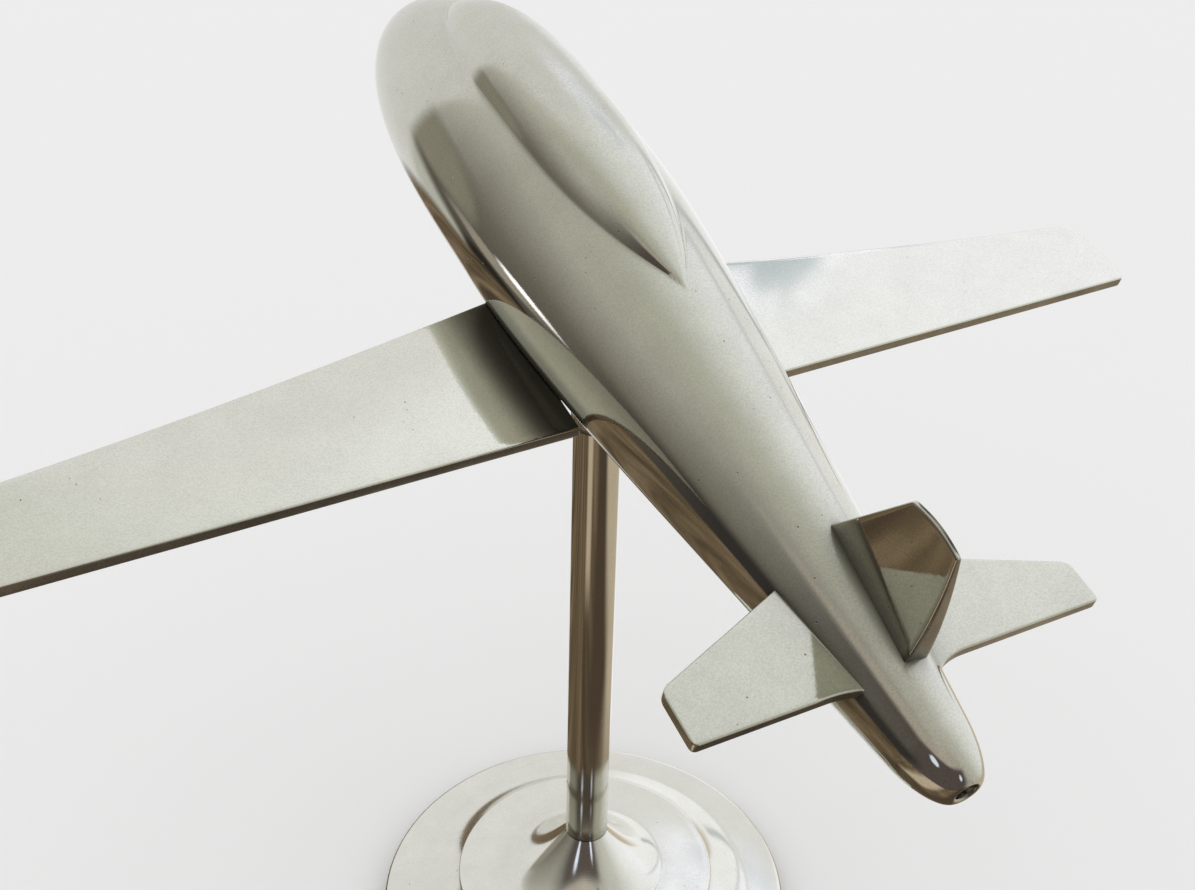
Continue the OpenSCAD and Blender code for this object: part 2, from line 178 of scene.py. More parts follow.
def canopy(y):
    """Half width and height of the canopy. To the rear the sides close as 1 - t ** 2.8, drawn to a point;
    to the front as (1 - t ** 2.4) ** 0.6, rounded; the crown falls as t ** 3 and t ** 5."""
    rear = np.clip((CANOPY_WIDE[0] - y) / (CANOPY_WIDE[0] + CANOPY_REAR), 0, 1)
    front = np.clip((y - CANOPY_WIDE[1]) / (CANOPY_FRONT - CANOPY_WIDE[1]), 0, 1)
    half = np.where(y < CANOPY_WIDE[0], CANOPY_W * (1 - rear ** 2.8), CANOPY_W * (1 - front ** 2.4) ** 0.6)
    return half, CANOPY_H * (1 - np.maximum(rear ** 3, front ** 5))


def fuselage_grid(rings=300, sides=288, share=0.25):
    """Rings across the plane's axis. A quarter of the points of each ring lie on the canopy, so that its
    edge always runs along the same two rows; the rearmost rings turn in round the pipe's end and down the
    drilled hole. The canopy's bulge, 1 - |x / half| ** 3.2, runs into the body through a soft valley, the
    smooth maximum with 0. The nose droops with the power 1.5."""
    t = np.linspace(0, 1, rings + 1)[:-1]
    start = TAIL_ROUND - TAIL_Y
    y = start + (NOSE_Y - start) * np.sin(np.pi / 2 * t)
    turn = np.radians(np.linspace(90, 0, TAIL_RINGS + 1))[:-1]
    cap_y = start - TAIL_ROUND * np.sin(turn)
    cap_r = body_radius(cap_y) - TAIL_IN * (1 - np.cos(turn))
    r = np.concatenate([JET_HOLE[:, 1], cap_r, body_radius(y)])[:, None]
    y = np.concatenate([JET_HOLE[:, 0] - TAIL_Y, cap_y, y])[:, None]
    shift = np.concatenate([np.ones(len(JET_HOLE)), np.linspace(JET_EASE, 0, TAIL_RINGS), np.zeros(rings)])
    shift = shift[:, None]
    half, crown = canopy(y)
    edge = np.maximum(CANOPY_LEAST, np.arcsin(np.clip(half / np.maximum(1, r), 0, CANOPY_MOST)))
    v = (np.arange(sides) * 2 / sides - 1)[None]
    out = np.sign(v) * (edge + (np.pi - edge) * (np.abs(v) - share) / (1 - share))
    a = np.where(np.abs(v) < share, edge * v / share, out)
    bulge = 1 - np.minimum(2, np.abs(r * np.sin(a)) / np.maximum(half, CANOPY_THIN)) ** CANOPY_BULGE
    rise = np.where(np.cos(a) > 0, crown * (bulge + np.sqrt(bulge ** 2 + VALLEY ** 2)) / 2, 0)
    rise = rise * np.clip((np.cos(a) - CANOPY_FADE[0]) / CANOPY_FADE[1], 0, 1)
    drop = NOSE_DROP * np.clip((y - BODY_MID) / (NOSE_Y - BODY_MID), 0, 1) ** 1.5
    r = r + rise
    return np.stack([r * np.sin(a) + JET_AT[0] * shift, y + 0 * a,
                     r * np.cos(a) - drop + JET_AT[1] * shift], axis=-1)


# Wings and tail surfaces

WING_REACH, WING_T, WING_DROP, WING_TE, WING_ROOT_X, WING_EDGE = 163.4, 3.3, 17.9, 30.2, 19.1, 0.55
WING_CORNERS = (4.2, 2.6)       # plan corners of the tip, front and rear
TONGUE_IN, TONGUE_FRONT, TONGUE_REAR = 10.6, 8.0, -18.2
CHORD_AT = np.array([19.1, 50, 84, 110, 140, 163.4])
CHORD = np.array([47.3, 42.1, 35.4, 31.7, 28.1, 25.0])

STAB_ROOT, STAB_T, STAB_TOP, STAB_EDGE = 8.4, 2.7, 5.7, 0.5
STAB_FRONT, STAB_SWEEP, STAB_REAR, STAB_CORNERS = -97.4, 0.387, -128.9, (2.1, 1.3)
STAB_LEFT = (47.0, (8.5, 2.2))      # reach, and the root flare's length and depth
STAB_RIGHT = (53.2, (8.5, 4.0))

FIN_FOOT, FIN_TOP, FIN_OFFSET, FIN_BOW, FIN_EDGE, FIN_ROUND = 8.0, 39.0, 1.8, 1.2, 0.45, 0.5
FIN_FRONT, FIN_REAR, FIN_HOLLOW = (-93.1, -113.0), (-129.8, -127.6), 1.1     # edges at foot and top
FIN_T_FRONT, FIN_T_REAR, FIN_T_TOP = 3.6, 6.5, 1.2
FIN_THIN = 0.6                  # share of the top edge's rounding that the blade's sides take


def wing_grid(side):
    """Flat plate from tongue to tip: rows run out along the span, each a rounded rectangle whose chord
    follows the plan outline, a cubic fitted to CHORD. They lie closer together towards the tip, at
    sin(90 t) ** 0.9 of the span. side is -1 for the left wing."""
    t = np.linspace(0, 1, 170)
    span = WING_ROOT_X + (WING_REACH - WING_ROOT_X) * np.sin(np.pi / 2 * t[1:]) ** 0.9
    x = np.concatenate([[TONGUE_IN, WING_ROOT_X, WING_ROOT_X], span])
    curve = np.polynomial.Polynomial.fit(CHORD_AT, CHORD, 3)
    front = curve(x) - WING_TE - end_loss(WING_REACH - x, WING_CORNERS[0])
    rear = -WING_TE + end_loss(WING_REACH - x, WING_CORNERS[1])
    front[:2], rear[:2] = TONGUE_FRONT, TONGUE_REAR
    thin = end_loss(WING_REACH - x, WING_EDGE)
    along, up = section(front - thin, rear + thin, thin - WING_DROP - WING_T, -WING_DROP - thin,
                        np.full(len(x), WING_EDGE), runs=30)
    x = np.broadcast_to(x[:, None], along.shape)
    c, s = math.cos(WING_SKEW), math.sin(WING_SKEW)
    return np.stack([side * x * c - along * s, side * x * s + along * c, up], axis=-1)


def tail_grid(side, reach, flare):
    """Flat half tailplane with a straight swept leading edge, a rounded tip and a trailing edge that
    flares at the root in a quarter ellipse."""
    x = STAB_ROOT + (reach - STAB_ROOT) * np.sin(np.pi / 2 * np.linspace(0, 1, 110)) ** 0.95
    front = STAB_FRONT - STAB_SWEEP * x - end_loss(reach - x, STAB_CORNERS[0])
    near = np.clip(1 - (x - STAB_ROOT) / flare[0], 0, 1)
    rear = STAB_REAR + end_loss(reach - x, STAB_CORNERS[1]) - flare[1] * (1 - np.sqrt(1 - near ** 2))
    thin = end_loss(reach - x, STAB_EDGE)
    along, up = section(front - thin, rear + thin, thin + STAB_TOP - STAB_T, STAB_TOP - thin,
                        np.full(len(x), STAB_EDGE))
    return np.stack([side * np.broadcast_to(x[:, None], along.shape), along, up], axis=-1)


def fin_grid():
    """Upright fin: rows run up from the sunk foot, each a rounded wedge that is thicker at its rear end.
    The trailing edge is hollowed by FIN_HOLLOW times 4 s (1 - s), s being the share of the height, and the
    top edge is bowed up by FIN_BOW in its middle in the same way, along the chord."""
    top_turn = np.sin(np.linspace(0, np.pi / 2, 7)[1:])
    z = np.concatenate([np.linspace(FIN_FOOT, FIN_TOP - FIN_ROUND, 60), FIN_TOP - FIN_ROUND * (1 - top_turn)])
    s = (z - FIN_FOOT) / (FIN_TOP - FIN_FOOT)
    front = FIN_FRONT[0] + (FIN_FRONT[1] - FIN_FRONT[0]) * s
    rear = FIN_REAR[0] + (FIN_REAR[1] - FIN_REAR[0]) * s - 4 * FIN_HOLLOW * s * (1 - s)
    t_front, t_rear = (t + (FIN_T_TOP - t) * s for t in (FIN_T_FRONT, FIN_T_REAR))
    thin = FIN_THIN * end_loss(FIN_TOP - z, FIN_ROUND)
    one = np.ones(len(z))
    along, across = section(front - thin, rear + thin, -one, one, FIN_EDGE * one)
    share = (front[:, None] - along) / (front - rear)[:, None]
    half = (t_front[:, None] * (1 - share) + t_rear[:, None] * share) / 2 - thin[:, None]
    bow = 1 + FIN_BOW / (FIN_TOP - FIN_FOOT) * 4 * share * (1 - share)
    z = FIN_FOOT + (z[:, None] - FIN_FOOT) * bow
    return np.stack([FIN_OFFSET + across * half, along, z], axis=-1)


# Stand

BASE_R, RIM_H, RIM_ROUND, BORE_R = 62.6, 6.0, 1.6, 3.3
RECESS_R, RECESS_H, RECESS_CHAMFER = 20.0, 8.5, 0.4
DISC_R, DISC_H, DISC_ROUND, DISC_LIP, DISC_DOME = 39.4, 14.8, 0.8, 1.5, 0.6
COVE_OUT, COVE_H, NECK_OUT, NECK_H = 13.0, 6.4, 18.0, 30.6
DOME_GAP, DOME_LAST = 0.6, 0.03     # how far from the neck's foot the dome ends, and at which share
POLE_R, POLE_CHAMFER, POLE_BORE = 6.35, 0.35, 3.1
BOSS_Z, BOSS_R, BOSS_LEN, BOSS_BORE, BOSS_TOP_BORE = 175.33, 7.0, 27.5, 3.05, 5.2


def base_profile():
    """Underside recess, rim, cove, raised disc and trumpet neck, as [radius, height] points. Inwards from
    their edges, with the share t, the cove rises as t ** 1.7, the domed disc as 1 - (1 - t) ** 2 and the
    neck as t ** 1.5."""
    t = np.linspace(0, 1, 40)
    cove = np.stack([DISC_R + COVE_OUT * (1 - t), DISC_H - DISC_LIP - COVE_H * (1 - t ** 1.7)], axis=-1)
    foot = DISC_H + DISC_DOME
    neck = np.stack([POLE_R + NECK_OUT * (1 - t), foot + (NECK_H - foot) * t ** 1.5], axis=-1)
    dome = np.stack([np.linspace(DISC_R - 2 * DISC_ROUND, POLE_R + NECK_OUT + DOME_GAP, 12),
                     DISC_H + DISC_DOME * (1 - np.linspace(1, DOME_LAST, 12) ** 2)], axis=-1)
    return np.vstack([
        [[BORE_R, RECESS_H], [RECESS_R, RECESS_H], [RECESS_R, RECESS_CHAMFER],
         [RECESS_R + RECESS_CHAMFER, 0.0]],
        arc((BASE_R - RIM_ROUND, RIM_ROUND), RIM_ROUND, -90, 0, 10),
        arc((BASE_R - RIM_ROUND, RIM_H - RIM_ROUND), RIM_ROUND, 0, 86, 12),
        cove,
        arc((DISC_R - DISC_ROUND, DISC_H - DISC_ROUND), DISC_ROUND, 0, 88, 10),
        dome,
        neck,
        [[POLE_R + 0.02, NECK_H - 0.2], [POLE_R - 0.15, NECK_H], [BORE_R, NECK_H]]])


def pole_profile():
    """Straight rod with small chamfers at both ends."""
    z = np.linspace(NECK_H + POLE_CHAMFER, POLE_TOP - POLE_CHAMFER, 60)
    return np.vstack([[[BORE_R, NECK_H], [POLE_R - POLE_CHAMFER, NECK_H]],
                      np.stack([np.full(60, POLE_R), z], -1),
                      [[POLE_R - POLE_CHAMFER, POLE_TOP], [POLE_BORE, POLE_TOP]]])


def boss_profile():
    """Short turned boss with a chamfer at its lower end."""
    top = BOSS_Z + BOSS_LEN
    return np.array([[BOSS_BORE, BOSS_Z], [BOSS_R - 0.6, BOSS_Z], [BOSS_R - 0.5, BOSS_Z + 0.05],
                     [BOSS_R - 0.05, BOSS_Z + 0.5], [BOSS_R, BOSS_Z + 0.65], [BOSS_R, BOSS_Z + 4],
                     [BOSS_R, top - 0.2], [BOSS_R - 0.2, top], [BOSS_TOP_BORE, top]])


# Materials

def srgb(code):
    """Linear colour of an sRGB hex code."""
    parts = [int(code[n:n + 2], 16) / 255 for n in (1, 3, 5)]
    return tuple(p / 12.92 if p <= 0.04045 else ((p + 0.055) / 1.055) ** 2.4 for p in parts) + (1.0,)


def add(tree, kind, inputs=None, stops=None, **settings):
    """Adds one node. inputs maps a socket to a value or to another node's output; stops are a ramp's
    colours."""
    node = tree.nodes.new(kind)
    for key, value in settings.items():
        setattr(node, key, value)
    for key, value in (inputs or {}).items():
        if isinstance(value, bpy.types.NodeSocket):
            tree.links.new(value, node.inputs[key])
        else:
            node.inputs[key].default_value = value
    for n, (place, colour) in enumerate(stops or []):
        mark = node.color_ramp.elements[n] if n < 2 else node.color_ramp.elements.new(place)
        mark.position, mark.color = place, colour
    return node


def zone(tree, *limits, amount=None):
    """Soft-edged zone: the product of smooth steps, one for each limit (value, where the zone begins,
    where it is full), and of an amount."""
    share = amount
    for value, begins, full in limits:
        at_low = 0.0 if begins < full else 1.0
        step = add(tree, "ShaderNodeMapRange", {0: value, 1: min(begins, full), 2: max(begins, full),
                                                3: at_low, 4: 1.0 - at_low},
                   interpolation_type="SMOOTHSTEP").outputs[0]
        share = step if share is None else add(tree, "ShaderNodeMath", {0: step, 1: share},
                                               operation="MULTIPLY").outputs[0]
    return share


def lay(tree, colour, coats):
    """Lays coats, each a (colour, share), over a colour one after the other."""
    for coat, share in coats:
        colour = add(tree, "ShaderNodeMix", {0: share, 6: colour, 7: coat}, data_type="RGBA").outputs[2]
    return colour


def new_material(name):
    """A material with an empty node tree."""
    material = bpy.data.materials.new(name)
    material.use_nodes = True
    material.node_tree.nodes.clear()
    return material, material.node_tree


# Sizes of the metal's detail, in millimetres. The true grain, scratches and tool marks are finer; they are
# drawn this coarse so that they show.
BLOOM, GRAIN, SCRATCH, PORES, TOOL_MARK, STEEL_GRAIN = 13, 0.45, 0.5, 3.1, 0.349, 0.8
CORNER, SEAM = 14, 1.5          # how far painted shade reaches from a corner, and grime with painted shade from an open seam
FINE_RELIEF, PIT_DEPTH = 0.01, 0.15
PER_METRE = 1000
WAVE_PERIOD = math.pi / 10      # length of one wave in a Wave Texture of scale 1
# The first colour is painted shade laid near corners; the second is grime with painted shade laid in seams
PAINTED_CORNER_SHADE, SEAM_GRIME_AND_SHADE, PIT_DIRT, SPECK = "#474747", "#14120e", "#4a4438", "#8c8a80"


def polished_aluminium(name, colour, rough, wave, wave_depth, dull=0.0, turned=None, metal=1.0,
                       pores_from=0.5):
    """Aluminium, cast and hand-polished, or turned on a lathe. The wheel left shallow waves, of a length
    and a depth in millimetres, and a grain of half a millimetre with duller specks; dull says how satin
    handling has made the faces that look upwards. There are fine scratches, small pits where the casting's
    pores were opened, near-black grime with painted shade in every seam, and painted shade that darkens
    the metal near every corner. turned is RINGS or BANDS, the way tool marks run."""
    material, tree = new_material(name)
    place = add(tree, "ShaderNodeTexCoord").outputs["Object"]
    long_way = add(tree, "ShaderNodeMapping", {0: place, 3: (1.0, 0.4, 1.0)}).outputs[0]
    waves = add(tree, "ShaderNodeTexNoise", {"Vector": long_way, "Scale": PER_METRE / wave, "Detail": 1.5,
                                             "Roughness": 0.4}).outputs[0]
    bloom = add(tree, "ShaderNodeTexNoise", {"Vector": place, "Scale": PER_METRE / BLOOM, "Detail": 5.0,
                                             "Roughness": 0.65}).outputs[0]
    grain = add(tree, "ShaderNodeTexNoise", {"Vector": place, "Scale": PER_METRE / GRAIN, "Detail": 2.0,
                                             "Roughness": 0.55}).outputs[0]
    pores = add(tree, "ShaderNodeTexVoronoi", {"Vector": place, "Scale": PER_METRE / PORES,
                                               "Randomness": 1.0}).outputs["Distance"]
    scratches = add(tree, "ShaderNodeMapping", {0: place, 2: (0.3, 0.2, 0.7), 3: (1.0, 0.04, 1.0)}).outputs[0]
    scratches = add(tree, "ShaderNodeTexNoise", {"Vector": scratches, "Scale": PER_METRE / SCRATCH,
                                                 "Detail": 2.0, "Roughness": 0.5}).outputs[0]
    # Pits are small round spots, in patches of the bloom
    pit = add(tree, "ShaderNodeMapRange", {"Value": pores, "From Min": 0.03, "From Max": 0.08,
                                           "To Min": 1.0, "To Max": 0.0}).outputs[0]
    crowd = add(tree, "ShaderNodeMapRange", {"Value": bloom, "From Min": pores_from,
                                             "From Max": pores_from + 0.1}).outputs[0]
    pit = add(tree, "ShaderNodeMath", {0: pit, 1: crowd}, operation="MULTIPLY").outputs[0]

    # Relief, the waves first: (height, strength, depth, inwards)
    relief = [(waves, 1.0, wave_depth, False), (grain, 0.12 if turned else 0.22, FINE_RELIEF, False),
              (scratches, 0.15, FINE_RELIEF, False)]
    if turned:
        direction = {"RINGS": "rings_direction", "BANDS": "bands_direction"}[turned]
        marks = add(tree, "ShaderNodeTexWave", {"Vector": place, "Distortion": 0.4, "Detail": 2.0,
                                                "Scale": WAVE_PERIOD * PER_METRE / TOOL_MARK},
                    wave_type=turned, **{direction: "Z"})
        relief.append((marks.outputs[1], 0.12, FINE_RELIEF, False))
    relief.append((pit, 0.6, PIT_DEPTH, True))
    normal = {}
    for height, strength, depth, inwards in relief:
        bump = add(tree, "ShaderNodeBump", {"Strength": strength, "Distance": depth * MM, "Height": height,
                                            **normal}, invert=inwards)
        normal = {"Normal": bump.outputs[0]}

    # Roughness: patches of bloom, and satin specks on faces that look upwards
    gloss = add(tree, "ShaderNodeMapRange", {"Value": bloom, "From Min": 0.3, "From Max": 0.7,
                                             "To Min": rough[0], "To Max": rough[1]}).outputs[0]
    if dull:
        facing = add(tree, "ShaderNodeNewGeometry").outputs["Normal"]
        up = add(tree, "ShaderNodeSeparateXYZ", {0: facing}).outputs[2]
        satin = add(tree, "ShaderNodeMapRange", {"Value": grain, "From Min": 0.38, "From Max": 0.62,
                                                 "To Min": 0.55 * dull, "To Max": dull}).outputs[0]
        gloss = add(tree, "ShaderNodeMath", {0: satin, 1: zone(tree, (up, 0.6, 0.92)), 2: gloss},
                    operation="MULTIPLY_ADD").outputs[0]

    # Colour: two tones mixed by bloom and grain, then the specks, the pits, painted shade near every
    # corner, and near-black grime with painted shade in the seams
    shade = add(tree, "ShaderNodeMath", {0: bloom, 1: grain}).outputs[0]
    shade = add(tree, "ShaderNodeMapRange", {"Value": shade, "From Min": 0.75, "From Max": 1.25}).outputs[0]
    corner, seam = (add(tree, "ShaderNodeAmbientOcclusion", {"Distance": reach * MM}, samples=8).outputs["AO"]
                    for reach in (CORNER, SEAM))
    coats = [(srgb(colour[1]), shade)]
    if not turned:
        speck = add(tree, "ShaderNodeMapRange", {"Value": grain, "From Min": 0.42, "From Max": 0.66,
                                                 "To Max": 0.1}).outputs[0]
        coats.append((srgb(SPECK), speck))
    # Painted shade: the metal darkens towards every corner by ambient occlusion
    coats += [(srgb(PIT_DIRT), pit), (srgb(PAINTED_CORNER_SHADE), zone(tree, (corner, 1.0, 0.55), amount=0.64)),
              # Grime with painted shade: near black in every open seam, by ambient occlusion
              (srgb(SEAM_GRIME_AND_SHADE), zone(tree, (seam, 0.5, 0.2)))]
    tone = lay(tree, srgb(colour[0]), coats)
    shader = add(tree, "ShaderNodeBsdfPrincipled", {"Base Color": tone, "Metallic": metal,
                                                    "Roughness": gloss, **normal})
    add(tree, "ShaderNodeOutputMaterial", {"Surface": shader.outputs[0]})
    return material


def zinc_steel(name):
    """Zinc-plated steel screws, pins, nut and washers: dull grey with a fine grain."""
    material, tree = new_material(name)
    place = add(tree, "ShaderNodeTexCoord").outputs["Object"]
    grain = add(tree, "ShaderNodeTexNoise", {"Vector": place, "Scale": PER_METRE / STEEL_GRAIN,
                                             "Detail": 3.0}).outputs[0]
    tone = add(tree, "ShaderNodeValToRGB", {0: grain}, stops=[(0.3, srgb("#84827c")), (0.7, srgb("#a4a29c"))])
    gloss = add(tree, "ShaderNodeMapRange", {"Value": grain, "To Min": 0.28, "To Max": 0.5})
    shader = add(tree, "ShaderNodeBsdfPrincipled", {"Base Color": tone.outputs[0], "Metallic": 1.0,
                                                    "Roughness": gloss.outputs[0]})
    add(tree, "ShaderNodeOutputMaterial", {"Surface": shader.outputs[0]})
    return material


# Sand casting polished on a wheel by hand: a mirror with shallow waves, turned satin on top
BODY = polished_aluminium("hand_polished_cast_aluminium", ("#d6d5cb", "#cccbc0"), (0.03, 0.08), 24, 0.1,
                          dull=0.2)
# The same casting ground flat first: a paler, calmer mirror
PLATE = polished_aluminium("satin_polished_cast_plate", ("#e9e8df", "#dfded5"), (0.02, 0.05), 22, 0.05,
                           dull=0.03)
# The tail's plates: the same finish, a little darker
TAIL = polished_aluminium("polished_cast_tail_plate", ("#d8d7cd", "#cbcabf"), (0.02, 0.05), 18, 0.06,
                          dull=0.03)
# Edges left from the file and tarnished: brownish and dull, with more open pores
FILED = polished_aluminium("filed_cast_aluminium", ("#8f887a", "#6f695d"), (0.25, 0.36), 6, 0.1, metal=0.85,
                           pores_from=0.42)
# Turned and polished in the lathe: pale and bright, with fine rings round the axis
TURNED = polished_aluminium("turned_aluminium", ("#eae9e2", "#e0dfd6"), (0.05, 0.11), 40, 0.05,
                            dull=0.08, turned="RINGS")
# Drawn rod, polished lengthwise: the clearest mirror, with faint marks across it
ROD = polished_aluminium("drawn_aluminium_rod", ("#d4d2c9", "#cac8bd"), (0.04, 0.09), 40, 0.03,
                         turned="BANDS")
# Plated fasteners and washers: dull grey
STEEL = zinc_steel("zinc_plated_steel")


# Pieces

def stands_for(piece, node, body):
    """The piece takes the place of a CAD node and moves with a body."""
    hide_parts(node)
    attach(piece, body)


BODY_SHARP, PLATE_SHARP, TURNED_SHARP = 48, 32, 40      # degrees past which an edge is sharp
castings = [("fuselage_casting", "fuselage", fuselage_grid(), BODY, BODY_SHARP, None),
            ("left_wing_plate", "left_wing", wing_grid(-1), PLATE, PLATE_SHARP, FILED),
            ("right_wing_plate", "right_wing", wing_grid(1), PLATE, PLATE_SHARP, FILED),
            ("left_tail_plate", "left_tailplane", tail_grid(-1, *STAB_LEFT), TAIL, PLATE_SHARP, FILED),
            ("right_tail_plate", "right_tailplane", tail_grid(1, *STAB_RIGHT), TAIL, PLATE_SHARP, FILED),
            ("fin_blade", "fin", fin_grid(), TAIL, PLATE_SHARP, FILED)]
for name, node, grid, finish, sharp, rear_face in castings:
    skin = closed_skin(name, in_flight(grid), finish, sharp, rear_face)
    stands_for(skin, node, "plane")
turnings = [("swivel_boss_turning", "swivel_boss", "plane", boss_profile(), 256, ROD),
            ("pole_rod", "pole", "stand", pole_profile(), 256, ROD),
            ("base_turning", "base", "stand", base_profile(), 384, TURNED)]
for name, node, body, profile, turns, finish in turnings:
    skin = closed_skin(name, lathe(profile, turns), finish, TURNED_SHARP)
    stands_for(skin, node, body)
for name in ("wing_screws", "fin_pin", "tail_pins", "boss_grub_screw", "swivel_screw", "spring_washer",
             "thrust_washer", "base_stud", "base_washer", "lock_washer", "base_nut"):
    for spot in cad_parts[name].material_slots:
        spot.material = STEEL


# Studio

PALE = srgb("#ededed")
METAL_TINT = (0.635, 0.63, 0.57)    # linear colour of the hand-polished metal, about midway in its tones
FLOOR_REACH = 6.0


def returned(code, strength=1.0):
    """Light that polished aluminium sends back as this colour: the colour over the metal's own."""
    return tuple(strength * c / m for c, m in zip(srgb(code)[:3], METAL_TINT)) + (1.0,)


def towards(azimuth, elevation):
    """Unit vector of a direction: azimuth 0 is +Y and 90 is +X."""
    a, e = math.radians(azimuth), math.radians(elevation)
    return (math.sin(a) * math.cos(e), math.cos(a) * math.cos(e), math.sin(e))


def oval(tree, angles, centre, radii, soft=0.3, amount=None):
    """Soft ellipse in degrees of azimuth and elevation, by the sum of squares of each offset over its
    radius: full inside, nothing outside."""
    squares = []
    for value, middle, radius in zip(angles, centre, radii):
        off = add(tree, "ShaderNodeMath", {0: value, 1: middle}, operation="SUBTRACT").outputs[0]
        off = add(tree, "ShaderNodeMath", {0: off, 1: radius}, operation="DIVIDE").outputs[0]
        squares.append(add(tree, "ShaderNodeMath", {0: off, 1: off}, operation="MULTIPLY").outputs[0])
    far = add(tree, "ShaderNodeMath", {0: squares[0], 1: squares[1]}).outputs[0]
    return zone(tree, (far, 1 + soft, 1 - soft), amount=amount)


def stage_piece(name, vertices, faces, material):
    """A part of the studio, which isn't part of the object."""
    mesh = bpy.data.meshes.new(name)
    mesh.from_pydata(vertices, [], faces)
    mesh.materials.append(material)
    piece = bpy.data.objects.new(name, mesh)
    bpy.context.scene.collection.objects.link(piece)
    return piece


def level_square(half, height):
    """Corners of a level square about the Z axis."""
    return [(-half, -half, height), (half, -half, height), (half, half, height), (-half, half, height)]


def card(name, vertices, faces, material):
    """Studio card: shiny metal mirrors it, but it lights no matte surface, casts no shadow and isn't seen
    directly."""
    material.cycles.emission_sampling = "NONE"
    piece = stage_piece(name, vertices, faces, material)
    piece.visible_camera = piece.visible_diffuse = piece.visible_shadow = piece.visible_transmission = False


def card_finish(tree, colour, clear):
    """Glow of a card, clear where the plain background has to show through it."""
    glow = add(tree, "ShaderNodeEmission", {"Color": colour, "Strength": 1.0}).outputs[0]
    bare = add(tree, "ShaderNodeBsdfTransparent").outputs[0]
    mix = add(tree, "ShaderNodeMixShader", {0: clear, 1: glow, 2: bare})
    add(tree, "ShaderNodeOutputMaterial", {"Surface": mix.outputs[0]})


# Background: plain and pale to the eye and in shiny metal alike; everything else gets plain white light
world = bpy.data.worlds.new("studio")
bpy.context.scene.world = world
world.use_nodes = True
tree = world.node_tree
tree.nodes.clear()
path = add(tree, "ShaderNodeLightPath").outputs
seen_by = path["Is Camera Ray"]
for ray in ("Is Glossy Ray", "Is Transmission Ray"):
    seen_by = add(tree, "ShaderNodeMath", {0: seen_by, 1: path[ray]}, operation="MAXIMUM").outputs[0]
backdrop = add(tree, "ShaderNodeBackground", {"Color": PALE, "Strength": 1.0})
light = add(tree, "ShaderNodeBackground", {"Color": srgb("#ffffff"), "Strength": 1.0})
mixed = add(tree, "ShaderNodeMixShader", {0: seen_by, 1: light.outputs[0], 2: backdrop.outputs[0]})
add(tree, "ShaderNodeOutputWorld", {"Surface": mixed.outputs[0]})

paper, tree = new_material("pale_paper")
matte = add(tree, "ShaderNodeBsdfDiffuse", {"Color": PALE})
add(tree, "ShaderNodeOutputMaterial", {"Surface": matte.outputs[0]})
stage_piece("floor", level_square(FLOOR_REACH, 0), [(0, 1, 2, 3)], paper)

# Tent of cards round the plane, which the polished metal mirrors in most directions. It is open to the
# plain background ahead; it has a pale screen on the right, a dim wall with a small lamp on the left, dark
# cloth behind the camera and a grey-green ceiling. Its places are directions from the tent's middle, in
# degrees: turn from +Y towards +X, back from -Y towards -X, and rise above the horizon.
TENT_R, TENT_Z, TENT_STEP, OFF_FLOOR = 1.5, 0.2, 3, 0.0003
BRIGHTEST = (57, 12)
LEAF_SCALE = 9.0
tent, tree = new_material("studio_tent")
place = add(tree, "ShaderNodeTexCoord").outputs["Object"]
way = add(tree, "ShaderNodeVectorMath", {0: place, 1: (0.0, 0.0, TENT_Z)}, operation="SUBTRACT").outputs[0]
way = add(tree, "ShaderNodeVectorMath", {0: way}, operation="NORMALIZE").outputs[0]
x, y, z = add(tree, "ShaderNodeSeparateXYZ", {0: way}).outputs
minus_x, minus_y = (add(tree, "ShaderNodeMath", {0: -1.0, 1: part}, operation="MULTIPLY").outputs[0]
                    for part in (x, y))
turn = add(tree, "ShaderNodeMath", {0: x, 1: y}, operation="ARCTAN2").outputs[0]
back = add(tree, "ShaderNodeMath", {0: minus_x, 1: minus_y}, operation="ARCTAN2").outputs[0]
rise = add(tree, "ShaderNodeMath", {0: z}, operation="ARCSINE").outputs[0]
turn, back, rise = (add(tree, "ShaderNodeMath", {0: angle}, operation="DEGREES").outputs[0]
                    for angle in (turn, back, rise))
ahead, behind = (turn, rise), (back, rise)

# Ceiling and walls: a soft fall-off from the lower right ahead
facing = add(tree, "ShaderNodeVectorMath", {0: way, 1: towards(*BRIGHTEST)}, operation="DOT_PRODUCT")
facing = add(tree, "ShaderNodeMapRange", {0: facing.outputs["Value"], 1: -1.0, 2: 1.0}).outputs[0]
room = add(tree, "ShaderNodeValToRGB", {0: facing}, stops=[
    (0.10, returned("#3c3830")), (0.33, returned("#8d8b7d")), (0.50, returned("#a6a598")),
    (0.62, returned("#adaea0")), (0.83, returned("#cfd0c8")), (1.0, returned("#dedfde"))]).outputs[0]

# Left side of the room: a wall that is dim below and pale above, darker further round and low down
height = add(tree, "ShaderNodeMapRange", {0: rise, 1: -20.0, 2: 90.0}).outputs[0]
wall = add(tree, "ShaderNodeValToRGB", {0: height}, stops=[
    (0.0, returned("#4a453c")), (0.24, returned("#676357")), (0.60, returned("#a09e90")),
    (1.0, returned("#a8a998"))]).outputs[0]
wall = lay(tree, wall, [
    (returned("#7d7969"), oval(tree, ahead, (-35, 4), (9, 13), 0.5)),
    (returned("#2c2926"), zone(tree, (turn, -70, -105), (turn, -150, -120), (rise, 85, 20), amount=0.75)),
    (returned("#302d2a"), zone(tree, (turn, -58, -75), (rise, 8, -6)))])
side = add(tree, "ShaderNodeMath", {0: zone(tree, (turn, -24, -30), (rise, 26, 14)),
                                    1: zone(tree, (turn, -28, -50))}, operation="MAXIMUM").outputs[0]

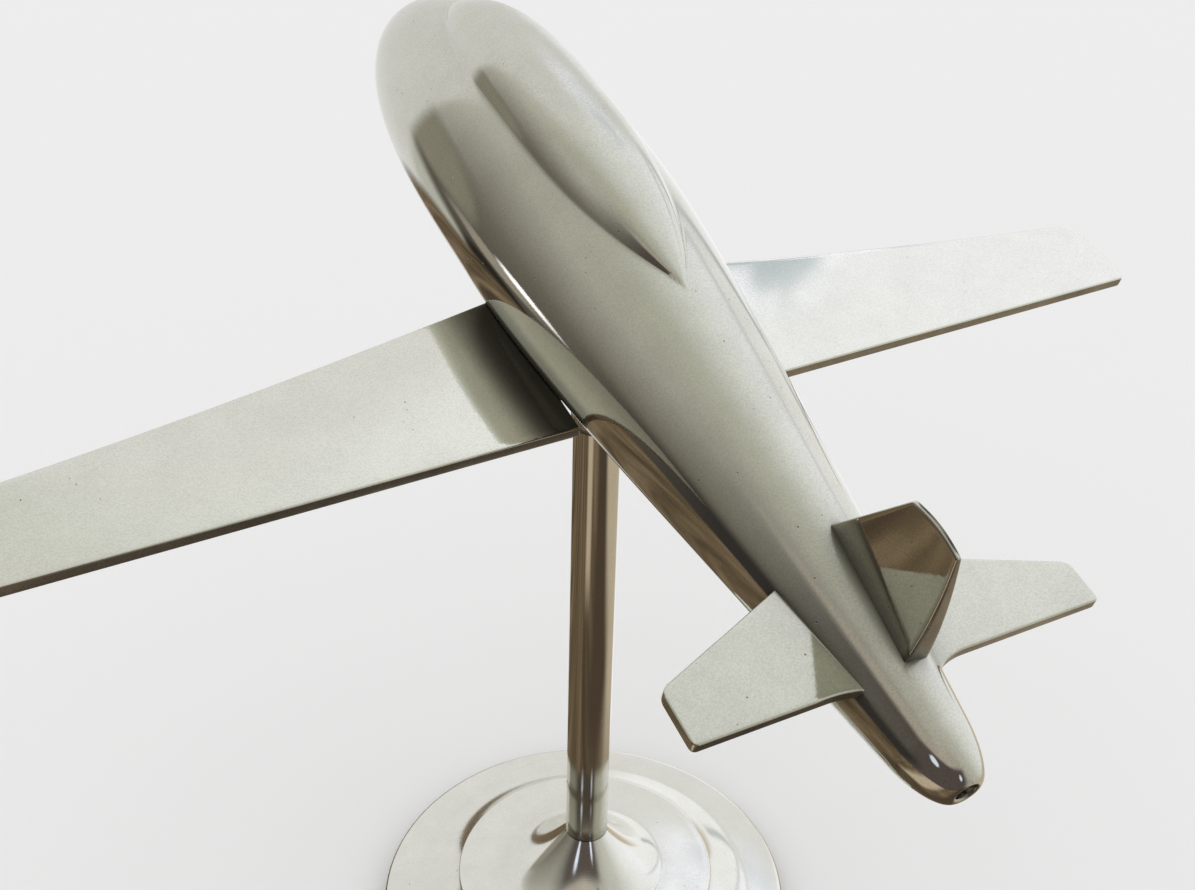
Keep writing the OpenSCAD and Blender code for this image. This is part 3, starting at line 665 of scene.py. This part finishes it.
# Right: a pale screen with its frame, and a window above it with the blue-grey shade of leaves
leaves = add(tree, "ShaderNodeTexNoise", {"Vector": way, "Scale": LEAF_SCALE, "Detail": 3.0,
                                          "Roughness": 0.6}).outputs[0]
window = oval(tree, ahead, (46, 44), (14, 9), 0.4)
screen = zone(tree, (turn, 26, 40), (turn, 88, 76), (rise, 27, 14))
bars = add(tree, "ShaderNodeMath", {0: oval(tree, ahead, (57, 0), (1.6, 30), 0.4, amount=0.8),
                                    1: oval(tree, ahead, (57, 23), (32, 1.6), 0.4, amount=0.8)},
           operation="MAXIMUM").outputs[0]
room = lay(tree, room, [
    (wall, zone(tree, (turn, -175, -150), amount=side)),
    # Dark cloth behind the camera, a tan strip over it and two narrow windows in it
    (returned("#4c443e"), zone(tree, (back, -16, 2), (back, 88, 72), (rise, 42, 35))),
    (returned("#a09888"), oval(tree, behind, (38, 49), (44, 9), 0.5, amount=0.8)),
    (returned("#cfd6de"), oval(tree, behind, (8, 22), (4, 8), 0.5)),
    (returned("#cfd6de"), oval(tree, behind, (58, 28), (5, 6), 0.5)),
    (returned("#dfe0e0"), zone(tree, (leaves, 0.36, 0.46), amount=window)),
    (returned("#a7b0af"), zone(tree, (leaves, 0.53, 0.6), amount=window)),
    (returned("#d6d6cf"), screen),
    (returned("#8f938f"), bars),
    # Low on the left: dark furniture, and a small lamp before its paler edge
    (returned("#4d4335"), zone(tree, (turn, 24, -20), (rise, -24, -28))),
    (returned("#26241f"), oval(tree, ahead, (-38, -20), (10, 4.5), 0.5)),
    (returned("#0d0d0d"), oval(tree, ahead, (0, -36), (14, 4))),
    (returned("#8d8678"), oval(tree, ahead, (-43, -12), (10, 2.6), 0.6)),
    (returned("#fffdf8", 1.1), oval(tree, ahead, (-52, -9), (5.5, 1.5), 0.6))])
covered = add(tree, "ShaderNodeMath", {0: screen, 1: window}, operation="MAXIMUM").outputs[0]
uncovered = add(tree, "ShaderNodeMath", {0: 1.0, 1: covered}, operation="SUBTRACT").outputs[0]
card_finish(tree, room, oval(tree, ahead, (12, 20), (47, 47), 0.07, amount=uncovered))

# A sphere round the tent's middle, cut off level just above the floor
a, e = np.meshgrid(np.radians(np.arange(0, 360, TENT_STEP)), np.radians(np.arange(-90, 91, TENT_STEP)),
                   indexing="ij")
reach = np.minimum(TENT_R, (TENT_Z - OFF_FLOOR) / np.maximum(1e-6, -np.sin(e)))
spots = np.stack([reach * np.cos(e) * np.sin(a), reach * np.cos(e) * np.cos(a), TENT_Z + reach * np.sin(e)],
                 axis=-1)
n, m = a.shape
i, j = np.meshgrid(np.arange(n), np.arange(m - 1), indexing="ij")
k = (i + 1) % n
faces = np.stack([i * m + j, k * m + j, k * m + j + 1, i * m + j + 1], axis=-1).reshape(-1, 4)
card("studio_tent", spots.reshape(-1, 3).tolist(), faces.tolist(), tent)

# Brown table top round the base, in metres: boards that run across, paler on the right and in one streak,
# darker behind the base, and clear past its edge and in a wedge on the right ahead. bearing is in radians.
TABLE_REACH, TABLE_Z = 0.7, 0.0006
table, tree = new_material("brown_table_top")
place = add(tree, "ShaderNodeTexCoord").outputs["Object"]
x, y, _ = add(tree, "ShaderNodeSeparateXYZ", {0: place}).outputs
far = add(tree, "ShaderNodeVectorMath", {0: place}, operation="LENGTH").outputs["Value"]
bearing = add(tree, "ShaderNodeMath", {0: x, 1: y}, operation="ARCTAN2").outputs[0]
boards = add(tree, "ShaderNodeMapping", {0: place, 3: (3.0, 26.0, 1.0)}).outputs[0]
boards = add(tree, "ShaderNodeTexNoise", {"Vector": boards, "Scale": 1.0, "Detail": 3.0,
                                          "Roughness": 0.6}).outputs[0]
wood = add(tree, "ShaderNodeValToRGB", {0: boards}, stops=[
    (0.34, returned("#42382b")), (0.52, returned("#62543f")), (0.68, returned("#796a54"))]).outputs[0]
wood = lay(tree, wood, [
    (returned("#ab9f87"), zone(tree, (x, 0.0, 0.12))),
    (returned("#463b2f"), zone(tree, (y, -0.03, -0.10), (x, -0.14, -0.03), (x, 0.16, 0.07))),
    (returned("#ab9c84"), zone(tree, (bearing, -2.45, -2.25), (bearing, -1.85, -2.05), (far, 0.15, 0.20)))])
wedge = zone(tree, (bearing, 0.0, 0.2), (bearing, 1.3, 1.1), (far, 0.05, 0.09))
clear = add(tree, "ShaderNodeMath", {0: zone(tree, (far, 0.50, 0.60)), 1: wedge},
            operation="MAXIMUM").outputs[0]
card_finish(tree, wood, clear)
card("table_top", level_square(TABLE_REACH, TABLE_Z), [(0, 1, 2, 3)], table)

# Camera at the photograph's viewpoint
CAMERA_AT = (-164.179, -297.299, 372.323)
CAMERA_AZ, CAMERA_DOWN, CAMERA_ROLL = (math.radians(v) for v in (-30.942, 31.536, 2.642))
lens = bpy.data.cameras.new("camera")
lens.sensor_width = 36.0
lens.lens = 45.722
lens.shift_x, lens.shift_y = -0.037637, 0.012803
camera = bpy.data.objects.new("camera", lens)
bpy.context.scene.collection.objects.link(camera)
c, s = math.cos(CAMERA_DOWN), math.sin(CAMERA_DOWN)
onward = Vector((-math.sin(CAMERA_AZ) * c, math.cos(CAMERA_AZ) * c, -s))
right = Vector((math.cos(CAMERA_AZ), math.sin(CAMERA_AZ), 0))
up = right.cross(onward)
c, s = math.cos(CAMERA_ROLL), math.sin(CAMERA_ROLL)
right, up = right * c + up * s, up * c - right * s
pose = Matrix((right, up, -onward)).transposed().to_4x4()
pose.translation = Vector(CAMERA_AT) * MM
camera.matrix_world = pose
bpy.context.scene.camera = camera
bpy.context.scene.view_settings.view_transform = "Standard"
